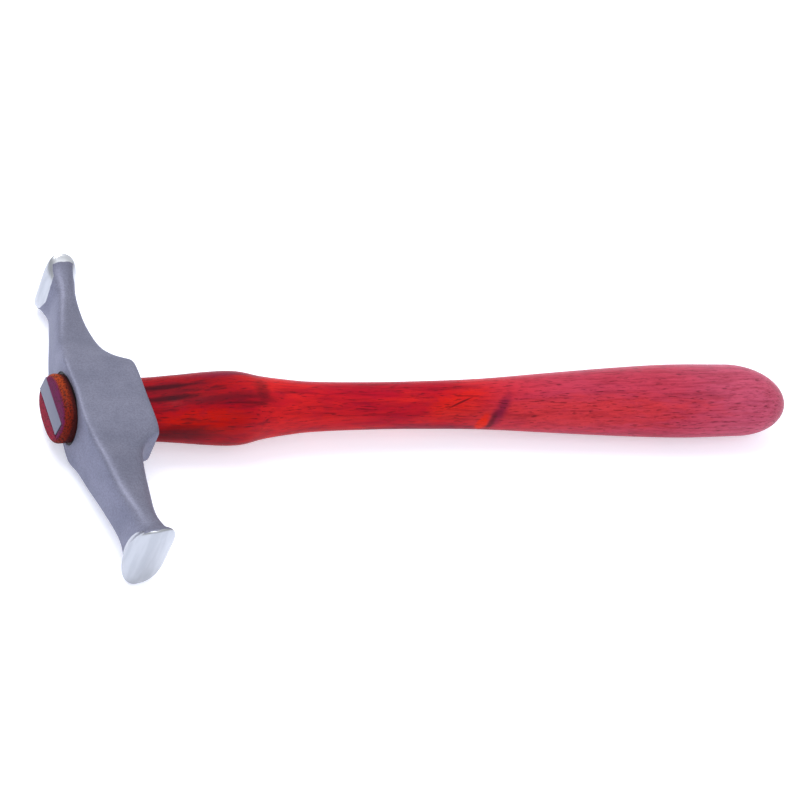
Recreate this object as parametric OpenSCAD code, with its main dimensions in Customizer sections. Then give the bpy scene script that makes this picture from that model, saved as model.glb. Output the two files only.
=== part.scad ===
// Silversmith's raising hammer: a double-ended cross-peen steel head on a shaped
// hardwood handle, held by a metal wedge and cured resin. It lies on its side:
// +X runs along the handle to the butt, +Y across the head to one peen, +Z up.

/* [Overall] */
// Length from the tenon's end to the butt, mm
overall_l = 239; // [230:1:260]

/* [Head] */
// Length of the head from peen to peen
head_l = 89.6; // [88:0.2:100]
// Width of the lug around the eye, along the head
lug_w = 23.4; // [22:0.2:26]
// Depth of the lug along the handle
lug_depth = 18.2; // [17:0.2:21]
// Distance over which the lug's side falls to the arm
lug_fall = 2.9; // [1.5:0.1:3.5]
// Thickness across the two flat cheeks at the head's upper surface
cheek_t = 15.7; // [15.5:0.1:17]
// Slope of each cheek towards the other, degrees
cheek_slope = 6; // [4:0.5:6.5]
// Width of each peen's face, across the head
face_w = 18.9; // [17:0.1:19.5]
// Height of each peen's crown, measured across the ridge
crown_h = 3.1; // [2:0.1:4.5]
// How far the two ends of the broad peen's ridge roll off
broad_roll = 0.7; // [0:0.1:1.5]
// How far the two ends of the slim peen's ridge roll off
slim_roll = 0.1; // [0:0.1:1.5]

/* [Eye and tenon] */
// Length of the tenon's oval at the eye's mouth
tenon_w = 17.4; // [16:0.2:18]
// Thickness of the tenon's oval at the eye's mouth
tenon_t = 11.8; // [9:0.2:12]
// Offset of the eye's mouth from the handle's axis, towards +Y
mouth_offset = 0.8; // [0:0.1:1]
// How far the tenon stands out of the head, at its longest edge
tenon_proud = 4.2; // [3:0.2:6]
// Tilt of the tenon's end, degrees
end_tilt = 6.5; // [0:0.5:8]
// Shrinkage of the tenon's half width down to the shoulder
tenon_narrowing = 0.3; // [0.1:0.1:0.6]
// Shrinkage of the tenon's half thickness down to the shoulder
tenon_thinning = 1.35; // [1.2:0.05:1.6]
// How far the wedge splays each half of the tenon beyond the head
tenon_splay = 0.5; // [0:0.1:0.8]
// Thickness of the resin film between tenon and eye
film_t = 0.25; // [0.2:0.05:0.4]
// Extra width of the resin-filled flare at the eye's mouth
mouth_flare = 0.35; // [0.2:0.05:0.5]

/* [Wedge] */
// Width of the wedge, along the tenon's long axis
wedge_w = 14.8; // [12:0.2:15.2]
// Thickness of the wedge at its driven end
wedge_t = 4; // [2.5:0.1:4.5]
// Thickness of the wedge at its tip
wedge_tip_t = 1.2; // [0.8:0.1:2]
// Length of the wedge
wedge_l = 17; // [12:0.5:19]
// Offset of the wedge from the middle of the tenon, towards +Y
wedge_offset = 0.7; // [0:0.1:0.8]
// Gap between the wedge and the closed end of the kerf
kerf_gap = 0.5; // [0.2:0.1:0.8]
// Thickness of the resin on each flank of the wedge
wedge_film_t = 0.15; // [0.1:0.05:0.25]

/* [Handle] */
// Widest part of the butt, across the palm
butt_w = 24.8; // [24:0.2:30]
// Thickness of the butt
butt_t = 18.9; // [18.9:0.1:24]
// Length of the rounded butt end
butt_cap_l = 21; // [18:1:32]

/* [Hidden] */

head_half = head_l / 2;
lug_half = lug_w / 2;
// Half thickness and relative slope half way down the cheeks, with stock to cut away
cheek_mid = (cheek_t - lug_depth * tan(cheek_slope)) / 2;
cheek_lean = lug_depth * tan(cheek_slope) / (2 * cheek_mid);
butt_x = overall_l - tenon_proud;
cap_x = butt_x - butt_cap_l;
// The rest plane is the lowest line of the butt
axis_z = butt_t / 2;
centre_x = overall_l / 2 - tenon_proud;

// Points round one section, a multiple of four so that the axes are hit exactly
RING = 48;
// Extra stock that the flat cheeks and the lug's flat underside are cut from
stock = 0.4;
// Rounding of the tenon's end
tenon_edge = 1.6;
// Depth of the flare at the eye's mouth, and how far its bead stands out
flare_depth = 1.6;
bead = 0.25;
// Larger than anything that is cut away
big = 60;

// Head sections: distance from the handle's axis, upper surface, arm's underside,
// half thickness, lean of the thickness towards the upper surface, squareness.
// The arm towards -Y carries the broad peen, and the arm towards +Y the slim one.
broad_arm = [
    [0, 0, 11.7, cheek_mid + stock, cheek_lean, 11],
    [8.8, -0.4, 11.7, cheek_mid + stock, cheek_lean, 10],
    [13.6, 0.2, 11.7, 6, 0.2, 8],
    [19.5, 1.2, 12.2, 5.7, 0.25, 5.2],
    [27.3, 2.4, 12, 5.1, 0.25, 3.6],
    [35.1, 3.7, 11.2, 6, 0.1, 2.7],
    [40.9, 3.3, 11.8, 7.7, 0, 2.6],
    [head_half, 2.4, 12.9, face_w / 2, 0, 2.6]
];
slim_arm = [
    [0, 0, 11.7, cheek_mid + stock, cheek_lean, 11],
    [8.8, -0.4, 11.7, cheek_mid + stock, cheek_lean, 10],
    [13.6, 0.2, 11.7, 6, 0.2, 8],
    [19.5, 1.2, 11.6, 4.8, 0.25, 5.2],
    [27.3, 3.1, 10.9, 4.8, 0.25, 3.6],
    [35.1, 4.6, 10.8, 5.9, 0.1, 2.7],
    [40.9, 3.6, 11.8, 7.6, 0, 2.6],
    [head_half, 3.4, 12.3, face_w / 2, 0, 2.6]
];

// Handle sections: distance along the handle, half width, half thickness, squareness
grip_rows = [
    [lug_depth, 8.8, 4.95, 2.5],
    [28, 8.95, 6.3, 2.5],
    [35, 9.2, 7.5, 2.45],
    [41, 9.4, 8.2, 2.35],
    [45, 9.2, 8.25, 2.25],
    [50, 8.1, 7.6, 2.15],
    [56, 7.25, 7.05, 2.1],
    [64, 6.6, 6.5, 2],
    [80, 6.35, 6.2, 2],
    [96, 6.5, 6.3, 2],
    [118, 7.2, 6.8, 2],
    [144, 9.2, 7.95, 2],
    [168, 10.95, 9, 2],
    [190, 12.3, 9.4, 2],
    [cap_x, butt_w / 2, butt_t / 2, 2]
];

// Smooth curve through column c of a table, read at v, level at both ends
function row_of(rows, v, i = 0) =
    i >= len(rows) - 2 || v < rows[i + 1][0] ? i : row_of(rows, v, i + 1);
function slope(rows, c, i) =
    i == 0 || i == len(rows) - 1 ? 0
    : (rows[i + 1][c] - rows[i - 1][c]) / (rows[i + 1][0] - rows[i - 1][0]);
function smooth(rows, c, v) =
    let (i = row_of(rows, v), h = rows[i + 1][0] - rows[i][0], s = (v - rows[i][0]) / h)
    rows[i][c] * (1 + 2 * s) * (1 - s) * (1 - s)
    + rows[i + 1][c] * s * s * (3 - 2 * s)
    + slope(rows, c, i) * h * s * (1 - s) * (1 - s)
    - slope(rows, c, i + 1) * h * s * s * (1 - s);

// One coordinate of a superellipse: n is 2 for an ellipse, larger for a squarer shape
function squared(c, n) = sign(c) * pow(abs(c), 2 / n);
function ring_angle(i) = 360 * i / RING;

// Closes a stack of equal rings into one solid
module loft(rings) {
    count = len(rings);
    sides = [
        for (k = [0 : count - 2])
            for (i = [0 : RING - 1])
                let (j = (i + 1) % RING)
                [k * RING + i, (k + 1) * RING + i, (k + 1) * RING + j, k * RING + j]
    ];
    first = [for (i = [0 : RING - 1]) i];
    last = [for (i = [RING - 1 : -1 : 0]) (count - 1) * RING + i];
    polyhedron([for (r = rings) each r], concat(sides, [first, last]));
}

module in_frame() {
    translate([-centre_x, 0, axis_z]) children();
}

// The lug's side falls to the arm in a hollow curve
function underside(arm, y) =
    let (under = smooth(arm, 2, y), past = y - lug_half)
    past <= 0 ? lug_depth + stock
    : under + (lug_depth + stock - under) * exp(-past / lug_fall);

// The peen's crown: a rounded ridge across the head that rolls off at both ends
function crown_drop(a, b, roll) = crown_h * (1 - sqrt(max(0, 1 - a * a))) + roll * pow(abs(b), 4);

// One section of an arm; a crown section has its roll and shrinks towards the ridge's middle
function head_ring(arm, y, roll = undef, shrink = 1) =
    let (
        top = smooth(arm, 1, y),
        under = underside(arm, y),
        half_t = smooth(arm, 3, y),
        lean = smooth(arm, 4, y),
        n = smooth(arm, 5, y)
    )
    [
        for (i = [0 : RING - 1])
            let (
                a = squared(cos(ring_angle(i)), n) * shrink,
                b = squared(sin(ring_angle(i)), n) * shrink
            )
            [(top + under + (under - top) * a) / 2,
             is_undef(roll) ? y : y - crown_drop(a, b, roll),
             half_t * b * (1 - lean * a)]
    ];

// Stations are dense beside the lug, where the side is steep
arm_end = head_half - crown_h - 0.6;
arm_steps = 20;
arm_stations = concat(
    [for (i = [0 : 3]) lug_half * i / 4],
    [for (i = [0 : arm_steps]) lug_half + 0.01 + (arm_end - lug_half) * pow(i / arm_steps, 1.5)]
);
cap_shrinks = [1, 0.97, 0.9, 0.8, 0.66, 0.5, 0.3, 0.1];

function half_head(arm, roll) = concat(
    [for (y = arm_stations) head_ring(arm, y)],
    [for (k = cap_shrinks) head_ring(arm, head_half, roll, k)]
);
function mirrored(ring) = [for (p = ring) [p[0], -p[1], p[2]]];

module head_stock() {
    broad = half_head(broad_arm, broad_roll);
    loft(concat(
        [for (k = [len(broad) - 1 : -1 : 1]) mirrored(broad[k])],
        half_head(slim_arm, slim_roll)
    ));
}

// Height of the tilted plane of the tenon's end, at a distance z from the handle's axis
function end_x(z) =
    tan(end_tilt) * (z + tenon_t / 2 + tenon_splay - tenon_edge) - tenon_proud;

// Oval of the tenon at x, grown by an allowance: it tapers down the eye and splays beyond
// it, leans towards its offset mouth and tilts towards the plane of its end
function oval(x, grow = 0, ends = 1) =
    let (
        down = max(0, x) / lug_depth,
        beyond = max(0, -x) / tenon_proud,
        splay = tenon_splay * beyond
    )
    [
        for (i = [0 : RING - 1])
            let (
                half_w = tenon_w / 2 - tenon_narrowing * down + grow * ends,
                half_t = tenon_t / 2 - tenon_thinning * down + splay + grow,
                y = half_w * squared(cos(ring_angle(i)), 2.5),
                z = half_t * squared(sin(ring_angle(i)), 2.5)
            )
            [x + (end_x(z) + tenon_proud) * beyond, y + mouth_offset * (1 - down), z]
    ];

module eye() {
    loft([
        oval(-2, film_t + mouth_flare),
        oval(0, film_t + mouth_flare),
        oval(flare_depth, film_t),
        oval(lug_depth + 1, film_t)
    ]);
}

module hammer_head() {
    color("slategray")
    in_frame()
    difference() {
        head_stock();
        for (side = [0, 1])
            mirror([0, 0, side])
                translate([0, -lug_half - 1, cheek_t / 2])
                    rotate([0, cheek_slope, 0])
                        translate([-big / 2, 0, 0])
                            cube([big, lug_w + 2, big]);
        translate([lug_depth, -big / 2, -big / 2])
            cube(big);
        eye();
    }
}

// Carries its children over to the middle of the wedge, leaning with the tenon
module leaning() {
    multmatrix([
        [1, 0, 0, 0],
        [-mouth_offset / lug_depth, 1, 0, mouth_offset + wedge_offset],
        [0, 0, 1, 0],
        [0, 0, 0, 1]
    ])
        children();
}

// The kerf is sawn in from the +Y side, stops just past the wedge and is opened by it
module kerf() {
    open_t = wedge_t / 2 + wedge_film_t;
    tip_t = wedge_tip_t / 2 + wedge_film_t;
    leaning()
        translate([0, big, 0])
            rotate([90, 0, 0])
                linear_extrude(big + wedge_w / 2 + kerf_gap)
                    polygon([
                        [-tenon_proud - 1, -open_t],
                        [-tenon_proud, -open_t],
                        [wedge_l - tenon_proud, -tip_t],
                        [wedge_l - tenon_proud, tip_t],
                        [-tenon_proud, open_t],
                        [-tenon_proud - 1, open_t]
                    ]);
}

// The wedge's end is ground to the tenon's tilted end
module wedge_body() {
    leaning()
        rotate([90, 0, 0])
            linear_extrude(wedge_w, center = true)
                polygon([
                    [end_x(-wedge_t / 2), -wedge_t / 2],
                    [wedge_l - tenon_proud, -wedge_tip_t / 2],
                    [wedge_l - tenon_proud, wedge_tip_t / 2],
                    [end_x(wedge_t / 2), wedge_t / 2]
                ]);
}

// The tenon's end has a rounded edge
tenon_rings = concat(
    [
        for (a = [90 : -22.5 : 0])
            oval(tenon_edge * (1 - sin(a)) - tenon_proud, -tenon_edge * (1 - cos(a)), 0.5)
    ],
    [oval(0), oval(lug_depth)]
);

function grip_ring(x, scale = 1) =
    let (station = min(x, cap_x), n = smooth(grip_rows, 3, station))
    [
        for (i = [0 : RING - 1])
            [x,
             smooth(grip_rows, 1, station) * scale * squared(cos(ring_angle(i)), n),
             smooth(grip_rows, 2, station) * scale * squared(sin(ring_angle(i)), n)]
    ];

grip_steps = 40;
grip_rings = concat(
    [for (i = [0 : grip_steps]) grip_ring(lug_depth + (cap_x - lug_depth) * i / grip_steps)],
    [for (a = [12 : 12 : 84]) grip_ring(cap_x + butt_cap_l * sin(a), cos(a))],
    [grip_ring(butt_x, 0.02)]
);

module handle() {
    color("firebrick")
    in_frame()
    difference() {
        loft(concat(tenon_rings, grip_rings));
        kerf();
    }
}

module wedge() {
    color("silver")
    in_frame()
    wedge_body();
}

// Resin fills the eye round the tenon and stands in a low bead at the mouth
module eye_adhesive() {
    color("black")
    in_frame()
    difference() {
        loft([
            oval(-bead, film_t + mouth_flare / 2),
            oval(0, film_t + mouth_flare),
            oval(flare_depth, film_t),
            oval(lug_depth, film_t)
        ]);
        loft([oval(-tenon_proud), oval(0), oval(lug_depth + 1)]);
    }
}

// Resin beside the wedge and in both ends of the kerf
module kerf_adhesive() {
    color("black")
    in_frame()
    difference() {
        intersection() {
            kerf();
            loft([oval(tenon_edge - tenon_proud), oval(0), oval(lug_depth)]);
        }
        wedge_body();
    }
}

hammer_head();
handle();
wedge();
eye_adhesive();
kerf_adhesive();
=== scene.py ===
import math

import bpy
import numpy as np
from mathutils import Matrix, Vector


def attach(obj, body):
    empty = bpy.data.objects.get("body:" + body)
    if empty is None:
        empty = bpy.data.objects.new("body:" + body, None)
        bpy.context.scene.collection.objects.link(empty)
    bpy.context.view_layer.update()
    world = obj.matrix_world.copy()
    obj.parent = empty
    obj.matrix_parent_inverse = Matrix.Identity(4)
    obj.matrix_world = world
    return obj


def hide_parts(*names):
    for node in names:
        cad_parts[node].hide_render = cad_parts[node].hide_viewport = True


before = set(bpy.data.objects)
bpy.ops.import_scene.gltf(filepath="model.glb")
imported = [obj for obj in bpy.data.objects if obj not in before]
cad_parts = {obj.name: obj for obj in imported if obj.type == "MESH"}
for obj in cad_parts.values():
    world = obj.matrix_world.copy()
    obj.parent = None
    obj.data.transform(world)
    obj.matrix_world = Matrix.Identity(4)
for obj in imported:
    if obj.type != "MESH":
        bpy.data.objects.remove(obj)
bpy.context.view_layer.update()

# Sizes in mm, as in the part's own source, in its local frame: x from the head's upper
# surface along the handle, y across the head, z up from the handle's axis.
OVERALL_L = 239
# A hair under half the head's length, which keeps the mesh inside the CAD model's box
HEAD_HALF = 44.76
LUG_HALF = 11.7
LUG_DEPTH = 18.2
LUG_FALL = 2.9
CHEEK_T = 15.7
CHEEK_SLOPE = math.tan(math.radians(6))
FACE_W = 18.9
CROWN_H = 3.1
BROAD_ROLL, SLIM_ROLL = 0.7, 0.1
TENON_W = 17.4
TENON_T = 11.8
MOUTH_OFFSET = 0.8
TENON_PROUD = 4.2
END_TILT = math.tan(math.radians(6.5))
TENON_NARROWING = 0.3
TENON_THINNING = 1.35
TENON_SPLAY = 0.5
TENON_EDGE = 1.6
FILM_T = 0.25
MOUTH_FLARE = 0.35
FLARE_DEPTH = 1.6
BEAD = 0.25
WEDGE_W = 14.8
WEDGE_T = 4.0
WEDGE_TIP_T = 1.2
WEDGE_L = 17.0
WEDGE_OFFSET = 0.7
WEDGE_FILM_T = 0.15
BUTT_W = 24.8
BUTT_T = 18.9
BUTT_CAP_L = 21.0
STOCK = 0.4

BUTT_X = OVERALL_L - TENON_PROUD
CAP_X = BUTT_X - BUTT_CAP_L
AXIS_Z = BUTT_T / 2
CENTRE_X = OVERALL_L / 2 - TENON_PROUD
SHIFT = np.array([-CENTRE_X, 0, AXIS_Z])
CHEEK_MID = (CHEEK_T - LUG_DEPTH * CHEEK_SLOPE) / 2
CHEEK_LEAN = LUG_DEPTH * CHEEK_SLOPE / (2 * CHEEK_MID)

# Rounding of the rim of each peen and of the lug's lower edge
RIM_R = 0.25
EDGE_R = 0.35
# How softly the flat cheeks run out into the arms
CHEEK_BLEND = 1.6
# Where the crown's ridge runs, from the middle of the peen towards the upper surface
RIDGE_AT = -0.22
KERF_GAP = 0.5

# Sections of the head at a distance from its middle: the distance, x of the upper and of the lower
# surface, half the thickness, how much the thickness leans, and how square the section is. The
# lug's corners are squarer here than in the CAD model.
LUG_ROWS = [
    [0, 0, 11.7, CHEEK_MID + STOCK, CHEEK_LEAN, 15],
    [8.8, -0.4, 11.7, CHEEK_MID + STOCK, CHEEK_LEAN, 14],
    [13.6, 0.2, 11.7, 6, 0.2, 8],
]
BROAD_ARM = np.array(LUG_ROWS + [
    [19.5, 1.2, 12.2, 5.7, 0.25, 5.2],
    [27.3, 2.4, 12, 5.1, 0.25, 3.6],
    [35.1, 3.7, 11.2, 6, 0.1, 2.7],
    [40.9, 3.3, 11.8, 7.7, 0, 2.6],
    [HEAD_HALF, 2.4, 12.9, FACE_W / 2, 0, 2.6],
])
SLIM_ARM = np.array(LUG_ROWS + [
    [19.5, 1.2, 11.6, 4.8, 0.25, 5.2],
    [27.3, 3.1, 10.9, 4.8, 0.25, 3.6],
    [35.1, 4.6, 10.8, 5.9, 0.1, 2.7],
    [40.9, 3.6, 11.8, 7.6, 0, 2.6],
    [HEAD_HALF, 3.4, 12.3, FACE_W / 2, 0, 2.6],
])
# Sections of the grip: x, half the width, half the thickness, and how square the section is
GRIP_ROWS = np.array([
    [LUG_DEPTH, 8.8, 4.95, 2.5],
    [28, 8.95, 6.3, 2.5],
    [35, 9.2, 7.5, 2.45],
    [41, 9.4, 8.2, 2.35],
    [45, 9.2, 8.25, 2.25],
    [50, 8.1, 7.6, 2.15],
    [56, 7.25, 7.05, 2.1],
    [64, 6.6, 6.5, 2],
    [80, 6.35, 6.2, 2],
    [96, 6.5, 6.3, 2],
    [118, 7.2, 6.8, 2],
    [144, 9.2, 7.95, 2],
    [168, 10.95, 9, 2],
    [190, 12.3, 9.4, 2],
    [CAP_X, BUTT_W / 2, BUTT_T / 2, 2],
])


def smooth(rows, column, v):
    """Smooth curve through one column of a table, level at both ends."""
    xs, ys = rows[:, 0], rows[:, column]
    slope = np.zeros(len(xs))
    slope[1:-1] = (ys[2:] - ys[:-2]) / (xs[2:] - xs[:-2])
    i = int(np.clip(np.searchsorted(xs, v, side="right") - 1, 0, len(xs) - 2))
    h = xs[i + 1] - xs[i]
    s = (v - xs[i]) / h
    return (
        ys[i] * (1 + 2 * s) * (1 - s) ** 2
        + ys[i + 1] * s * s * (3 - 2 * s)
        + slope[i] * h * s * (1 - s) ** 2
        - slope[i + 1] * h * s * s * (1 - s)
    )


def squared(c, n):
    return np.sign(c) * np.abs(c) ** (2 / n)


def even_ring(count, half_a, half_b, n):
    """Unit coordinates of a superellipse's points, evenly spaced along each of its quarters."""
    t = np.linspace(0, math.pi / 2, 1500)
    a, b = squared(np.cos(t), n), squared(np.sin(t), n)
    run = np.concatenate([[0], np.cumsum(np.hypot(np.diff(a * half_a), np.diff(b * half_b)))])
    want = np.linspace(0, run[-1], count // 4 + 1)
    qa, qb = np.interp(want, run, a), np.interp(want, run, b)
    qa[-1], qb[0] = 0, 0
    a = np.concatenate([qa[:-1], -qa[::-1][:-1], -qa[:-1], qa[::-1][:-1]])
    b = np.concatenate([qb[:-1], qb[::-1][:-1], -qb[:-1], -qb[::-1][:-1]])
    return a, b


def soft_min(a, b, k):
    """The smaller of the two, with the corner between them rounded over k."""
    h = np.clip(0.5 + 0.5 * (b - a) / k, 0, 1)
    return b * (1 - h) + a * h - k * h * (1 - h)


def mesh_from_rings(name, rings, attribute=None, values=None):
    """Closed skin over a stack of equal rings of points, given in mm in the local frame."""
    count = len(rings[0])
    points = np.concatenate(rings)
    faces = []
    for k in range(len(rings) - 1):
        for i in range(count):
            j = (i + 1) % count
            faces.append((k * count + i, (k + 1) * count + i, (k + 1) * count + j, k * count + j))
    last = (len(rings) - 1) * count
    first_centre, last_centre = len(points), len(points) + 1
    points = np.concatenate([points, [rings[0].mean(0)], [rings[-1].mean(0)]])
    for i in range(count):
        j = (i + 1) % count
        faces.append((first_centre, i, j))
        faces.append((last_centre, last + j, last + i))
    mesh = bpy.data.meshes.new(name)
    mesh.from_pydata(((points + SHIFT) / 1000).tolist(), [], faces)
    if attribute:
        data = mesh.attributes.new(attribute, "FLOAT", "POINT")
        full = np.concatenate([np.concatenate(values), [values[0].mean()], [values[-1].mean()]])
        data.data.foreach_set("value", full.astype(np.float32))
    obj = bpy.data.objects.new(name, mesh)
    bpy.context.scene.collection.objects.link(obj)
    make_outward(obj)
    return obj


def make_outward(obj):
    """Turns the mesh's faces outward."""
    mesh = obj.data
    co = np.array([v.co[:] for v in mesh.vertices])
    mesh.calc_loop_triangles()
    tri = np.array([t.vertices[:] for t in mesh.loop_triangles])
    volume = np.einsum("ij,ij->i", co[tri[:, 0]], np.cross(co[tri[:, 1]], co[tri[:, 2]])).sum()
    if volume < 0:
        mesh.flip_normals()


def boolean(obj, cutter, operation):
    """Cuts obj with cutter and drops the cutter."""
    mod = obj.modifiers.new("cut", "BOOLEAN")
    mod.operation = operation
    mod.solver = "EXACT"
    mod.object = cutter
    settle(obj)
    bpy.data.objects.remove(cutter)


def settle(obj):
    """Applies the object's modifiers."""
    bpy.context.view_layer.update()
    graph = bpy.context.evaluated_depsgraph_get()
    mesh = bpy.data.meshes.new_from_object(obj.evaluated_get(graph), depsgraph=graph)
    obj.modifiers.clear()
    old = obj.data
    obj.data = mesh
    bpy.data.meshes.remove(old)


def shade(obj, angle):
    mesh = obj.data
    mesh.polygons.foreach_set("use_smooth", [True] * len(mesh.polygons))
    mesh.set_sharp_from_angle(angle=math.radians(angle))


# ---------------------------------------------------------------- head

HEAD_RING = 224
ARM_STEPS = 84
CROWN_STEPS = 26
# The crown's saddle starts to pull the sections out of plane here
WARP_FROM = HEAD_HALF - 5.3


def crown_drop(a, b, roll):
    """How far the crown lies below the ridge, which is a soft crease off the peen's middle."""
    t = np.where(a < RIDGE_AT, (RIDGE_AT - a) / (1 + RIDGE_AT), (a - RIDGE_AT) / (1 - RIDGE_AT))
    t = np.clip(t, 0, 1)
    bowed = 1 - np.sqrt(1 - t * t)
    return CROWN_H * (0.8 * bowed + 0.2 * t) + roll * np.abs(b) ** 4


def head_section(arm, station, roll, warp, shrink=1.0):
    """One ring of the head, on the side of +y."""
    top, half_t = smooth(arm, 1, station), smooth(arm, 3, station)
    lean, n = smooth(arm, 4, station), smooth(arm, 5, station)
    under = smooth(arm, 2, station)
    past = station - LUG_HALF
    low = LUG_DEPTH + STOCK
    under = under + (low - under) * math.exp(soft_min(-past, 0.0, EDGE_R) / LUG_FALL)
    a, b = even_ring(HEAD_RING, (under - top) / 2, half_t, n)
    a, b = a * shrink, b * shrink
    x = (top + under + (under - top) * a) / 2
    z = half_t * b * (1 - lean * a)
    cheek = CHEEK_T / 2 - x * CHEEK_SLOPE
    if station < LUG_HALF + 8:
        # The allowance makes up for what the soft corner takes off the flat itself
        z = np.sign(z) * soft_min(np.abs(z), cheek + 0.19 * CHEEK_BLEND, CHEEK_BLEND)
        x = soft_min(x, np.full_like(x, LUG_DEPTH + 0.05), EDGE_R)
    over = min(1.0, max(0.0, (shrink - 0.95) / 0.05))
    rim = RIM_R * (1 - math.sqrt(1 - over * over))
    y = station - warp * (crown_drop(a, b, roll) + rim)
    return np.stack([x, y, z], -1)


def half_head(arm, roll):
    """Rings from the eye out to the middle of the ridge, and how far each lies past the rim."""
    rings, past_rim = [], []
    stations = [LUG_HALF * i / 14 for i in range(14)]
    stations += [
        LUG_HALF + 0.01 + (HEAD_HALF - LUG_HALF - 0.01) * (i / ARM_STEPS) ** 1.4
        for i in range(ARM_STEPS)
    ]
    for s in stations:
        warp = max(0, (s - WARP_FROM) / (HEAD_HALF - WARP_FROM)) ** 1.5
        rings.append(head_section(arm, s, roll, warp))
        past_rim.append(np.full(HEAD_RING, s - HEAD_HALF))
    for i in range(CROWN_STEPS):
        shrink = math.cos(math.pi / 2 * i / CROWN_STEPS)
        rings.append(head_section(arm, HEAD_HALF, roll, 1, shrink))
        past_rim.append(np.full(HEAD_RING, (1 - shrink) * 5 + 0.01))
    return rings, past_rim


def make_head():
    broad, broad_past = half_head(BROAD_ARM, BROAD_ROLL)
    slim, slim_past = half_head(SLIM_ARM, SLIM_ROLL)
    flipped = [r * np.array([1, -1, 1]) for r in broad[:0:-1]]
    head = mesh_from_rings(
        "head", flipped + slim, "past_rim", broad_past[:0:-1] + slim_past
    )
    eye = mesh_from_rings(
        "eye_cutter",
        [
            oval(x, FILM_T + extra)
            for x, extra in (
                (-2, MOUTH_FLARE),
                (0, MOUTH_FLARE),
                (FLARE_DEPTH, 0),
                (LUG_DEPTH + 1, 0),
            )
        ],
    )
    boolean(head, eye, "DIFFERENCE")
    shade(head, 38)
    return head


# ---------------------------------------------------------------- eye, tenon and wedge

OVAL_RING = 176


def end_x(z):
    """The tilted plane of the tenon's end."""
    return END_TILT * (z + TENON_T / 2 + TENON_SPLAY - TENON_EDGE) - TENON_PROUD


def oval(x, grow=0.0, ends=1.0, scale=1.0):
    """Oval of the tenon at x: it leans to its offset mouth and tilts towards its end's plane.
    grow may be one number or one for each point round the oval."""
    down = max(0, x) / LUG_DEPTH
    beyond = max(0, -x) / TENON_PROUD
    half_w = TENON_W / 2 - TENON_NARROWING * down + grow * ends
    half_t = TENON_T / 2 - TENON_THINNING * down + TENON_SPLAY * beyond + grow
    a, b = even_ring(OVAL_RING, TENON_W / 2, TENON_T / 2, 2.5)
    y, z = half_w * a * scale, half_t * b * scale
    along = np.maximum(x + (end_x(z) + TENON_PROUD) * beyond, min(x, -TENON_PROUD))
    return np.stack([along, y + MOUTH_OFFSET * (1 - down), z], -1)


def grip_ring(x, scale=1.0, count=OVAL_RING):
    station = min(x, CAP_X)
    n = smooth(GRIP_ROWS, 3, station)
    half_w, half_t = smooth(GRIP_ROWS, 1, station), smooth(GRIP_ROWS, 2, station)
    a, b = even_ring(count, half_w, half_t, n)
    return np.stack([np.full(count, x), half_w * a * scale, half_t * b * scale], -1)


def leaning(x, y):
    """y carried over to the middle of the wedge, which leans with the tenon."""
    return y + MOUTH_OFFSET * (1 - x / LUG_DEPTH) + WEDGE_OFFSET


def kerf_prism(name):
    """The tapered slot that the wedge opens: it comes in from +y and ends past the wedge."""
    open_t = WEDGE_T / 2 + WEDGE_FILM_T
    tip_t = WEDGE_TIP_T / 2 + WEDGE_FILM_T
    tip_x = WEDGE_L - TENON_PROUD
    outline = [
        (-TENON_PROUD - 2, -open_t),
        (-TENON_PROUD, -open_t),
        (tip_x, -tip_t),
        (tip_x, tip_t),
        (-TENON_PROUD, open_t),
        (-TENON_PROUD - 2, open_t),
    ]
    ends = (-WEDGE_W / 2 - KERF_GAP, 30.0)
    return mesh_from_rings(
        name, [np.array([(x, leaning(x, y), z) for x, z in outline]) for y in ends]
    )


def make_wedge(name, bevel):
    """The wedge leans with the tenon and is ground to its tilted end."""
    rings = []
    tip_x = WEDGE_L - TENON_PROUD
    for side in (-1, 1):
        ring = []
        for x, z in (
            (end_x(-WEDGE_T / 2), -WEDGE_T / 2),
            (tip_x, -WEDGE_TIP_T / 2),
            (tip_x, WEDGE_TIP_T / 2),
            (end_x(WEDGE_T / 2), WEDGE_T / 2),
        ):
            ring.append((x, leaning(x, side * WEDGE_W / 2), z))
        rings.append(np.array(ring))
    wedge = mesh_from_rings(name, rings)
    if bevel:
        mod = wedge.modifiers.new("edges", "BEVEL")
        mod.width = bevel / 1000
        mod.segments = 3
        mod.limit_method = "ANGLE"
        settle(wedge)
        shade(wedge, 40)
    return wedge


def make_handle():
    rings = [oval(-TENON_PROUD, -TENON_EDGE, 0.5, s) for s in (0.02, 0.25, 0.5, 0.75, 0.9)]
    for i in range(13):
        a = math.pi / 2 * (1 - i / 12)
        drop = TENON_EDGE * (1 - math.sin(a))
        rings.append(oval(drop - TENON_PROUD, -TENON_EDGE * (1 - math.cos(a)), 0.5))
    rings += [oval(x) for x in (-2.2, -1.4, -0.7, 0, 1, 3, 6, 9, 12, 15)]
    rings.append(oval(LUG_DEPTH))
    steps = 190
    rings += [grip_ring(LUG_DEPTH + (CAP_X - LUG_DEPTH) * i / steps) for i in range(steps)]
    for i in range(33):
        a = math.pi / 2 * i / 33
        rings.append(grip_ring(CAP_X + BUTT_CAP_L * math.sin(a), math.cos(a)))
    rings.append(grip_ring(BUTT_X, 0.02))
    handle = mesh_from_rings("handle_wood", rings)
    boolean(handle, kerf_prism("kerf_cutter"), "DIFFERENCE")
    shade(handle, 42)
    return handle


def ripple(seed, count, size):
    """A smooth closed wave round a ring."""
    rng = np.random.default_rng(seed)
    t = 2 * math.pi * np.arange(count) / count
    wave = sum(
        rng.uniform(0.4, 1) / k * np.sin(k * t + rng.uniform(0, 2 * math.pi)) for k in (2, 3, 5, 7, 11, 16)
    )
    return size * wave / np.abs(wave).max()


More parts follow.
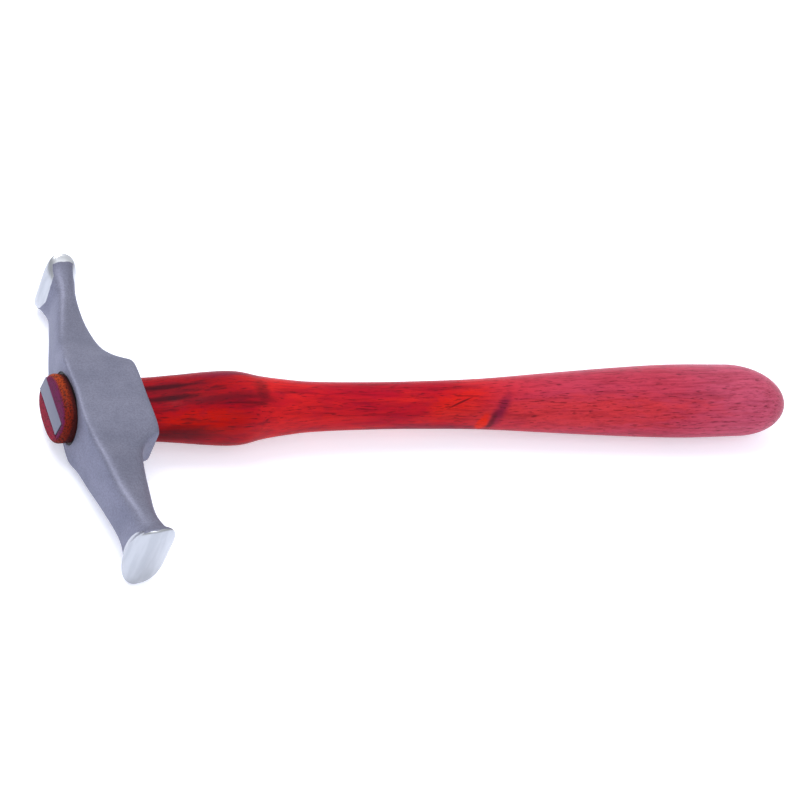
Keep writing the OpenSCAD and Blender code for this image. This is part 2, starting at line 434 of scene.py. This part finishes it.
def make_eye_resin():
    """Resin round the tenon: it fills the flare and stands in a low uneven bead with one flat run."""
    uneven = ripple(4, OVAL_RING, 0.1) + 0.08
    t = 2 * math.pi * np.arange(OVAL_RING) / OVAL_RING
    run = np.exp(-(((t - 2.72) / 0.07) ** 2)) * 0.9
    rings = []
    for i in range(9):
        a = math.pi / 2 * i / 8
        height = BEAD * math.cos(a)
        width = (FILM_T + MOUTH_FLARE) * math.sin(a) + 0.06
        rings.append(oval(-height, width + (uneven + run) * math.sin(a), 1.0))
    rings[-1] = oval(0, FILM_T + MOUTH_FLARE + uneven + run)
    rings.append(oval(0.04, FILM_T + MOUTH_FLARE - 0.01))
    rings += [oval(x, FILM_T + MOUTH_FLARE * (1 - x / FLARE_DEPTH)) for x in (0.4, 0.8, 1.2, 1.6)]
    rings += [oval(x, FILM_T) for x in (6, 12, LUG_DEPTH)]
    resin = mesh_from_rings("eye_resin", rings)
    core = mesh_from_rings("core", [oval(x) for x in (-TENON_PROUD, 0, LUG_DEPTH + 1)])
    boolean(resin, core, "DIFFERENCE")
    shade(resin, 40)
    return resin


def make_kerf_resin():
    """Resin beside the wedge and in the kerf's open end."""
    fill = mesh_from_rings(
        "kerf_resin", [oval(x, -0.02) for x in (0.9 - TENON_PROUD, -1, 0, 6, 12, LUG_DEPTH - 0.05)]
    )
    boolean(fill, kerf_prism("kerf_core"), "INTERSECT")
    boolean(fill, make_wedge("wedge_core", 0), "DIFFERENCE")
    shade(fill, 30)
    return fill


# ---------------------------------------------------------------- materials


class Shader:
    """A material under construction, with short names for the nodes that it uses."""

    def __init__(self, name):
        self.material = bpy.data.materials.new(name)
        self.material.use_nodes = True
        self.tree = self.material.node_tree
        self.principled = self.tree.nodes["Principled BSDF"]
        self.where = self.add("ShaderNodeTexCoord").outputs["Object"]

    def add(self, kind, **settings):
        node = self.tree.nodes.new(kind)
        for key, value in settings.items():
            setattr(node, key, value)
        return node

    def link(self, value, socket):
        if isinstance(value, bpy.types.NodeSocket):
            self.tree.links.new(value, socket)
        else:
            socket.default_value = value

    def math(self, operation, a, b=0.0, clamp=False):
        node = self.add("ShaderNodeMath", operation=operation, use_clamp=clamp)
        self.link(a, node.inputs[0])
        self.link(b, node.inputs[1])
        return node.outputs[0]

    def coordinates(self):
        """x, y and z in mm in the local frame."""
        node = self.add("ShaderNodeSeparateXYZ")
        self.link(self.where, node.inputs[0])
        return [
            self.math("SUBTRACT", self.math("MULTIPLY", node.outputs[i], 1000), float(SHIFT[i]))
            for i in range(3)
        ]

    def scaled(self, sx, sy, sz, offset=(0, 0, 0)):
        """The place in mm, with each axis in its own scale: bigger is finer."""
        node = self.add("ShaderNodeMapping")
        self.link(self.where, node.inputs["Vector"])
        node.inputs["Scale"].default_value = (1000 * sx, 1000 * sy, 1000 * sz)
        node.inputs["Location"].default_value = offset
        return node.outputs[0]

    def noise(self, vector, detail=3.0, roughness=0.55, distortion=0.0):
        node = self.add("ShaderNodeTexNoise")
        self.link(vector, node.inputs["Vector"])
        node.inputs["Scale"].default_value = 1.0
        node.inputs["Detail"].default_value = detail
        node.inputs["Roughness"].default_value = roughness
        node.inputs["Distortion"].default_value = distortion
        return node.outputs["Fac"]

    def span(self, value, low, high, out_low=0.0, out_high=1.0):
        """A smooth step of value from low to high."""
        node = self.add("ShaderNodeMapRange", interpolation_type="SMOOTHSTEP")
        self.link(value, node.inputs["Value"])
        node.inputs["From Min"].default_value = low
        node.inputs["From Max"].default_value = high
        node.inputs["To Min"].default_value = out_low
        node.inputs["To Max"].default_value = out_high
        return node.outputs["Result"]

    def mix(self, factor, a, b, blend="MIX"):
        node = self.add("ShaderNodeMix", data_type="RGBA", blend_type=blend)
        self.link(factor, node.inputs["Factor"])
        for value, socket in ((a, node.inputs["A"]), (b, node.inputs["B"])):
            self.link(value if isinstance(value, bpy.types.NodeSocket) else (*value, 1), socket)
        return node.outputs["Result"]

    def blob(self, xyz, centre, radii, wobble=None, amount=0.0, edge=0.5):
        """1 inside a soft ellipsoid and 0 outside it."""
        total = None
        for axis in range(3):
            d = self.math("DIVIDE", self.math("SUBTRACT", xyz[axis], centre[axis]), radii[axis])
            d = self.math("MULTIPLY", d, d)
            total = d if total is None else self.math("ADD", total, d)
        r = self.math("SQRT", total)
        if wobble is not None:
            r = self.math("ADD", r, self.math("MULTIPLY", self.math("SUBTRACT", wobble, 0.5), amount))
        return self.span(r, 1 + edge, 1 - edge)

    def bump(self, height, distance_mm, strength=1.0):
        node = self.add("ShaderNodeBump")
        node.inputs["Strength"].default_value = strength
        node.inputs["Distance"].default_value = distance_mm / 1000
        self.link(height, node.inputs["Height"])
        self.link(node.outputs["Normal"], self.principled.inputs["Normal"])

    def set(self, **values):
        for key, value in values.items():
            self.link(value, self.principled.inputs[key.replace("_", " ")])


# Where the polish starts on the flanks of the broad and of the slim peen, how far that line slants
# with z, how much later it starts at the flank's edges, and the latest that it starts anywhere
POLISH_START = (39.3, 37.6)
POLISH_SLANT = (0.12, -0.12)
POLISH_HOLLOW = (4.7, 10.3)
POLISH_LIMIT = (43.9, 42.3)
# Half the width of a polished flank, and a shift that takes the line past any limit
FLANK_HALF = 9.4
FAR_PAST = 9.0


def head_material():
    s = Shader("head_steel")
    _, y, z = s.coordinates()
    on_slim = s.span(y, -1, 1)

    def by_peen(values):
        """The first value on the broad peen and the second on the slim one."""
        return s.math("ADD", values[0], s.math("MULTIPLY", on_slim, values[1] - values[0]))

    across = s.math("MINIMUM", s.math("DIVIDE", s.math("ABSOLUTE", z), FLANK_HALF), 1.0)
    level = s.math("SQRT", s.math("SUBTRACT", 1.0, s.math("MULTIPLY", across, across)))
    hollow = s.math("MULTIPLY", s.math("SUBTRACT", 1.0, level), by_peen(POLISH_HOLLOW))
    slant = s.math("MULTIPLY", z, by_peen(POLISH_SLANT))
    edge = s.math("ADD", s.math("ADD", by_peen(POLISH_START), slant), hollow)
    # The sides of the arms that face along z stay matte up to the limit
    normal = s.add("ShaderNodeSeparateXYZ")
    s.link(s.where.node.outputs["Normal"], normal.inputs[0])
    facing_z = s.span(s.math("ABSOLUTE", normal.outputs[2]), 0.6, 0.8)
    edge = s.math("ADD", edge, s.math("MULTIPLY", facing_z, FAR_PAST))
    edge = s.math("MINIMUM", edge, by_peen(POLISH_LIMIT))
    # The crown itself is polished all over
    rim = s.add("ShaderNodeAttribute", attribute_name="past_rim").outputs["Fac"]
    wobble = s.math("SUBTRACT", s.noise(s.scaled(0.3, 0.3, 0.3), 2), 0.5)
    past = s.math("SUBTRACT", s.math("ABSOLUTE", y), edge)
    past = s.math("MAXIMUM", past, s.math("ADD", rim, 0.1))
    past = s.math("ADD", past, s.math("MULTIPLY", wobble, 0.9))
    polish = s.span(past, -0.08, 0.08)
    grit = s.noise(s.scaled(2.4, 2.4, 2.4), 4, 0.75)
    cloud = s.noise(s.scaled(0.1, 0.16, 0.16), 4)
    matte = s.mix(s.span(cloud, 0.3, 0.7), (0.185, 0.192, 0.262), (0.22, 0.226, 0.302))
    matte = s.mix(s.span(grit, 0.36, 0.62), s.mix(0.35, matte, (0.08, 0.08, 0.12)), matte)
    # Faint streaks of the polishing run across the crown
    streaks = s.noise(s.scaled(0.7, 0.7, 0.1), 3)
    silver = s.mix(s.span(streaks, 0.35, 0.65), (0.37, 0.385, 0.415), (0.42, 0.435, 0.465))
    # On the slim peen the faces that look along z get a brighter silver: a painted highlight
    silver = s.mix(s.math("MULTIPLY", on_slim, facing_z), silver, (0.62, 0.64, 0.68))
    s.set(
        Base_Color=s.mix(polish, matte, silver),
        Metallic=s.math("ADD", s.math("MULTIPLY", polish, 0.2), 0.8),
        Roughness=s.math("SUBTRACT", 0.62, s.math("MULTIPLY", polish, 0.34)),
    )
    s.bump(s.math("MULTIPLY", grit, s.math("SUBTRACT", 1.0, polish)), 0.05, 0.5)
    return s.material


# Colours of the wood
CRIMSON, ORANGE = (0.34, 0.004, 0.016), (0.5, 0.012, 0.013)
DEEP, PINK, DARK = (0.21, 0.001, 0.005), (0.38, 0.044, 0.09), (0.026, 0.003, 0.007)
FLAME, PLUM = (0.57, 0.012, 0.002), (0.1, 0.005, 0.03)


def wood_material():
    s = Shader("handle_wood")
    xyz = s.coordinates()
    x, y, z = xyz
    figure = s.noise(s.scaled(0.03, 0.14, 0.14, (3, 1, 2)), 4, 0.6, 0.6)
    streaks = s.noise(s.scaled(0.03, 0.5, 0.5, (7, 2, 5)), 4, 0.6, 0.35)
    fibres = s.noise(s.scaled(0.07, 1.3, 1.3, (1, 5, 3)), 4, 0.65, 0.25)
    flecks = s.noise(s.scaled(0.28, 2.6, 2.6, (2, 8, 4)), 2, 0.5)
    mottle = s.noise(s.scaled(0.2, 0.5, 0.5, (6, 6, 1)), 5, 0.7)
    ragged = s.noise(s.scaled(0.12, 0.6, 0.6, (9, 4, 1)), 3, 0.6)

    # Deep red beside the head, orange in the waist and pink towards the butt, lighter at its end; the pink
    # and the lighter end are partly the wood's tone and partly a painted sheen
    colour = s.mix(s.span(figure, 0.34, 0.62), CRIMSON, ORANGE)
    colour = s.mix(s.math("MULTIPLY", s.span(x, 54, 36), 0.75), colour, DEEP)
    colour = s.mix(s.math("MULTIPLY", s.span(x, 100, 150), 0.7), colour, PINK)
    colour = s.mix(s.math("MULTIPLY", s.span(x, 175, 218), 0.5), colour, (0.49, 0.1, 0.18))

    def patch(base, centre, radii, paint, amount, edge=0.5, rag=1.2, place=xyz):
        mask = s.blob(place, centre, radii, ragged, rag, edge)
        return s.mix(s.math("MULTIPLY", mask, amount), base, paint)

    # Figure in the waist runs askew to the grain: there x is taken along the slant
    askew = [s.math("SUBTRACT", x, s.math("MULTIPLY", s.math("ADD", y, 6), 0.8)), y, z]
    # Light flames and a dark line along the underside
    colour = patch(colour, (31, -7.5, 4), (11, 2.2, 4), (0.4, 0.005, 0.001), 0.9)
    colour = patch(colour, (60, -6, 3), (16, 4, 5), ORANGE, 0.6)
    colour = patch(colour, (106, -3, 4), (9, 4.5, 4), FLAME, 0.55, place=askew)
    colour = patch(colour, (160, -6.5, 3), (46, 4.5, 5), (0.5, 0.028, 0.03), 0.75)
    colour = patch(colour, (98, -5.8, -3), (20, 2, 2.6), PLUM, 0.6)
    # Mottle, fibres and streaks, heaviest beside the head
    colour = s.mix(s.math("MULTIPLY", s.span(mottle, 0.45, 0.75), 0.3), colour, PLUM)
    colour = s.mix(s.math("MULTIPLY", s.span(fibres, 0.42, 0.7), 0.45), colour, (0.14, 0.003, 0.01))
    heavy = s.math("ADD", s.math("MULTIPLY", s.span(x, 62, 44), 0.4), 0.18)
    colour = s.mix(s.math("MULTIPLY", s.span(streaks, 0.54, 0.68), heavy), colour, DARK)
    # Dark streaks in the belly and the swirl at its end
    colour = patch(colour, (24, 1.5, 6), (9, 2.8, 3), (0.09, 0.004, 0.01), 0.6)
    colour = patch(colour, (23, 2.1, 5.5), (8, 0.8, 3), DARK, 0.8, 0.6)
    colour = patch(colour, (24, -1.6, 5.8), (8, 0.9, 3), DARK, 0.85, 0.6)
    colour = patch(colour, (38, -3.2, 7), (12, 1.2, 4), (0.08, 0.004, 0.01), 0.7, 0.7)
    colour = patch(colour, (48, -0.5, 7.6), (1.6, 3.4, 3.5), DARK, 0.45, 0.8, 1.8)
    colour = patch(colour, (40, 5, 6.5), (8, 1.2, 3), PLUM, 0.6, 0.8)
    colour = patch(colour, (27, -8.6, 0.8), (9, 1, 2.2), DARK, 0.7, 0.6)
    # The knot in the waist, the flame beside it and a fine crack
    colour = patch(colour, (120.5, -5.5, 3), (1.9, 3.6, 4.5), PLUM, 0.75, 0.8, place=askew)
    colour = patch(colour, (119.3, -7.2, 0), (1.0, 2, 3), DARK, 0.6, 0.6, place=askew)
    colour = patch(colour, (116.4, -6.4, -0.2), (1.9, 2.4, 2.8), FLAME, 0.95, 0.35, 0.6, askew)
    crack = [x, s.math("SUBTRACT", y, s.math("MULTIPLY", s.math("SUBTRACT", x, 107.5), 0.28)), z]
    colour = patch(colour, (107.5, -4, 5), (4, 0.22, 3), DARK, 0.7, 0.4, 0.5, crack)
    # Short dark pores
    colour = s.mix(s.math("MULTIPLY", s.span(flecks, 0.58, 0.68), 0.55), colour, DARK)

    # The tenon: purple end grain, an orange-brown speckled edge and a dark wall
    below = s.math("SUBTRACT", x, s.math("ADD", s.math("MULTIPLY", z, END_TILT), float(end_x(0))))
    speck = s.noise(s.scaled(2.2, 2.2, 2.2), 3, 0.7)
    grain = s.mix(s.span(z, -1, -3), (0.1, 0.006, 0.05), (0.21, 0.008, 0.026))
    grain = s.mix(s.math("MULTIPLY", s.span(speck, 0.5, 0.62), 0.7), grain, (0.03, 0.006, 0.014))
    bright = s.mix(s.span(y, -6, 8), (0.16, 0.014, 0.006), (0.31, 0.045, 0.01))
    ragged_below = s.math("ADD", below, s.math("MULTIPLY", s.math("SUBTRACT", speck, 0.5), 0.8))
    # The wall darkens towards the head: partly resin soaked into the wood, partly painted shade where the
    # tenon goes into the head
    wall = s.mix(s.span(ragged_below, 1.3, 2.4), bright, (0.045, 0.009, 0.01))
    wall = s.mix(s.math("MULTIPLY", s.span(speck, 0.49, 0.56), 0.85), wall, (0.03, 0.006, 0.006))
    end = s.mix(s.span(ragged_below, -0.05, 0.3), grain, wall)
    on_tenon = s.span(x, 1, 0.5)
    s.set(
        Base_Color=s.mix(on_tenon, colour, end),
        Roughness=s.math("ADD", 0.36, s.math("MULTIPLY", on_tenon, 0.2)),
        Coat_Weight=0.03,
        Coat_Roughness=0.1,
    )
    s.principled.inputs["Specular IOR Level"].default_value = 0.03
    rough_end = s.math("MULTIPLY", speck, s.math("MULTIPLY", on_tenon, 3.0))
    s.bump(s.math("ADD", fibres, rough_end), 0.03, 0.35)
    return s.material


def wedge_material():
    s = Shader("wedge_metal")
    scratches = s.noise(s.scaled(1.5, 0.5, 9), 4, 0.7)
    s.set(
        Base_Color=s.mix(scratches, (0.105, 0.108, 0.142), (0.2, 0.205, 0.26)),
        Metallic=0.85,
        Roughness=s.math("ADD", s.math("MULTIPLY", scratches, 0.2), 0.4),
    )
    s.bump(scratches, 0.03, 0.5)
    return s.material


def resin_material():
    s = Shader("cured_resin")
    s.set(Base_Color=(0.004, 0.003, 0.005, 1), Roughness=0.5)
    s.principled.inputs["Specular IOR Level"].default_value = 0.2
    return s.material


def finish_piece(piece, node, material):
    piece.data.materials.clear()
    piece.data.materials.append(material)
    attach(piece, "root")
    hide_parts(node)


resin = resin_material()
finish_piece(make_head(), "hammer_head", head_material())
finish_piece(make_handle(), "handle", wood_material())
finish_piece(make_wedge("wedge_bar", 0.12), "wedge", wedge_material())
finish_piece(make_eye_resin(), "eye_adhesive", resin)
finish_piece(make_kerf_resin(), "kerf_adhesive", resin)

# ---------------------------------------------------------------- floor, light and camera

floor_mesh = bpy.data.meshes.new("floor")
floor_mesh.from_pydata([(-3, -3, 0), (3, -3, 0), (3, 3, 0), (-3, 3, 0)], [], [(0, 1, 2, 3)])
floor = bpy.data.objects.new("floor", floor_mesh)
bpy.context.scene.collection.objects.link(floor)
paper = Shader("paper")
paper.set(
    Base_Color=(0.82, 0.85, 0.95, 1),
    Roughness=0.9,
    Emission_Color=(0.95, 0.95, 1, 1),
    Emission_Strength=0.4,
)
paper.principled.inputs["Specular IOR Level"].default_value = 0.0
floor_mesh.materials.append(paper.material)

# The camera's direction and roll in degrees, then its distance and framing in mm
AZIMUTH, ELEVATION, ROLL = (math.radians(v) for v in (43.53, 38.46, 29.77))
back = Vector((
    -math.sin(AZIMUTH) * math.cos(ELEVATION),
    -math.cos(AZIMUTH) * math.cos(ELEVATION),
    math.sin(ELEVATION),
))

# A bright room that is dimmer on the photographer's side
scene = bpy.context.scene
world = bpy.data.worlds.new("studio")
scene.world = world
world.use_nodes = True
room = world.node_tree
toward = room.nodes.new("ShaderNodeVectorMath")
toward.operation = "DOT_PRODUCT"
room.links.new(room.nodes.new("ShaderNodeTexCoord").outputs["Generated"], toward.inputs[0])
toward.inputs[1].default_value = back
dim = room.nodes.new("ShaderNodeMapRange")
dim.interpolation_type = "SMOOTHSTEP"
dim.inputs["From Min"].default_value = 0.2
dim.inputs["From Max"].default_value = 0.95
dim.inputs["To Min"].default_value = 0.85
dim.inputs["To Max"].default_value = 0.75
room.links.new(toward.outputs["Value"], dim.inputs["Value"])
background = room.nodes["Background"]
background.inputs["Color"].default_value = (0.97, 0.98, 1, 1)
room.links.new(dim.outputs["Result"], background.inputs["Strength"])
scene.view_settings.view_transform = "Standard"


def area_light(name, place, target, size, power):
    data = bpy.data.lights.new(name, "AREA")
    data.shape = "DISK"
    data.size = size
    data.energy = power
    light = bpy.data.objects.new(name, data)
    light.location = place
    light.rotation_mode = "QUATERNION"
    light.rotation_quaternion = (Vector(target) - Vector(place)).to_track_quat("-Z", "Y")
    scene.collection.objects.link(light)


area_light("key", (-0.35, 0.45, 1.0), (-0.03, 0, 0), 0.9, 10)
area_light("fill", (-0.1, -0.8, 0.8), (-0.03, 0, 0), 1.3, 3.5)

DISTANCE = 348.5
LENS, SENSOR = 67.24, 36
# How far the camera's axis passes to the right of the eye's mouth and above it
ASIDE, ABOVE = 77.66, 2.51

level = Vector((0, 0, 1)).cross(back).normalized()
upright = back.cross(level)
right = math.cos(ROLL) * level + math.sin(ROLL) * upright
up = -math.sin(ROLL) * level + math.cos(ROLL) * upright
eye_point = Vector(SHIFT.tolist()) + back * DISTANCE + right * ASIDE + up * ABOVE
camera_data = bpy.data.cameras.new("camera")
camera_data.sensor_width = SENSOR
camera_data.lens = LENS
camera_data.clip_start = 0.01
camera_data.clip_end = 20
camera = bpy.data.objects.new("camera", camera_data)
place = Matrix((right, up, back)).transposed().to_4x4()
place.translation = eye_point / 1000
camera.matrix_world = place
scene.collection.objects.link(camera)
scene.camera = camera
